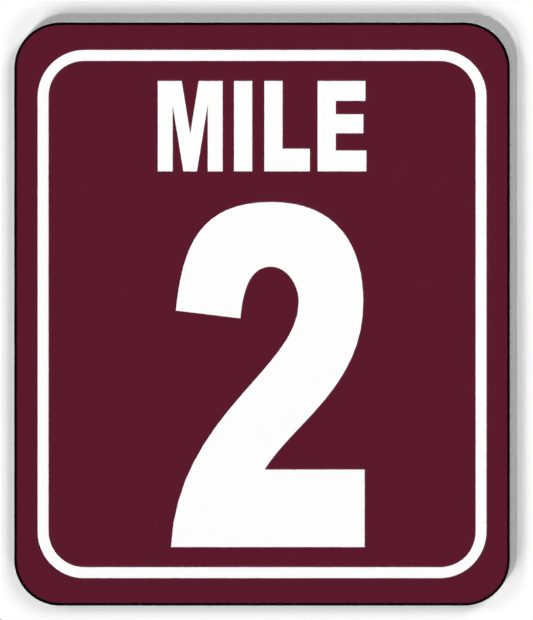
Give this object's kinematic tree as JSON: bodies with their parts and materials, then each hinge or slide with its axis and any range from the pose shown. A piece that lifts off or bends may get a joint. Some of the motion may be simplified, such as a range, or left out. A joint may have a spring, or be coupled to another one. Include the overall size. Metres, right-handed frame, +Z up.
{
  "type": "mile marker sign",
  "caption": "Flat rounded-corner road sign panel in aluminium, with maroon sheeting, a black edge line, a white border stripe and a cut white legend.",
  "frame": {"origin": "centre of the panel's back face", "axes": "+Y is the outward normal of the back face, so the sign is read looking along +Y; +Z is up the sign, along its longer side; +X is to the reader's right"},
  "size_m": [0.216, 0.0035, 0.254],
  "materials": {
    "blank": "bare mill finish, lightly grained, with deburred edges",
    "sheeting": "satin maroon sign sheeting",
    "line_film": "satin black film",
    "white_film": "satin white film"
  },
  "bodies": {
    "root": {"sign_blank": "blank", "face_sheeting": "sheeting", "edge_line": "line_film", "border_stripe": "white_film", "letter_m": "white_film", "letter_i": "white_film", "letter_l": "white_film", "letter_e": "white_film", "numeral_two": "white_film"}
  },
  "joints": []
}
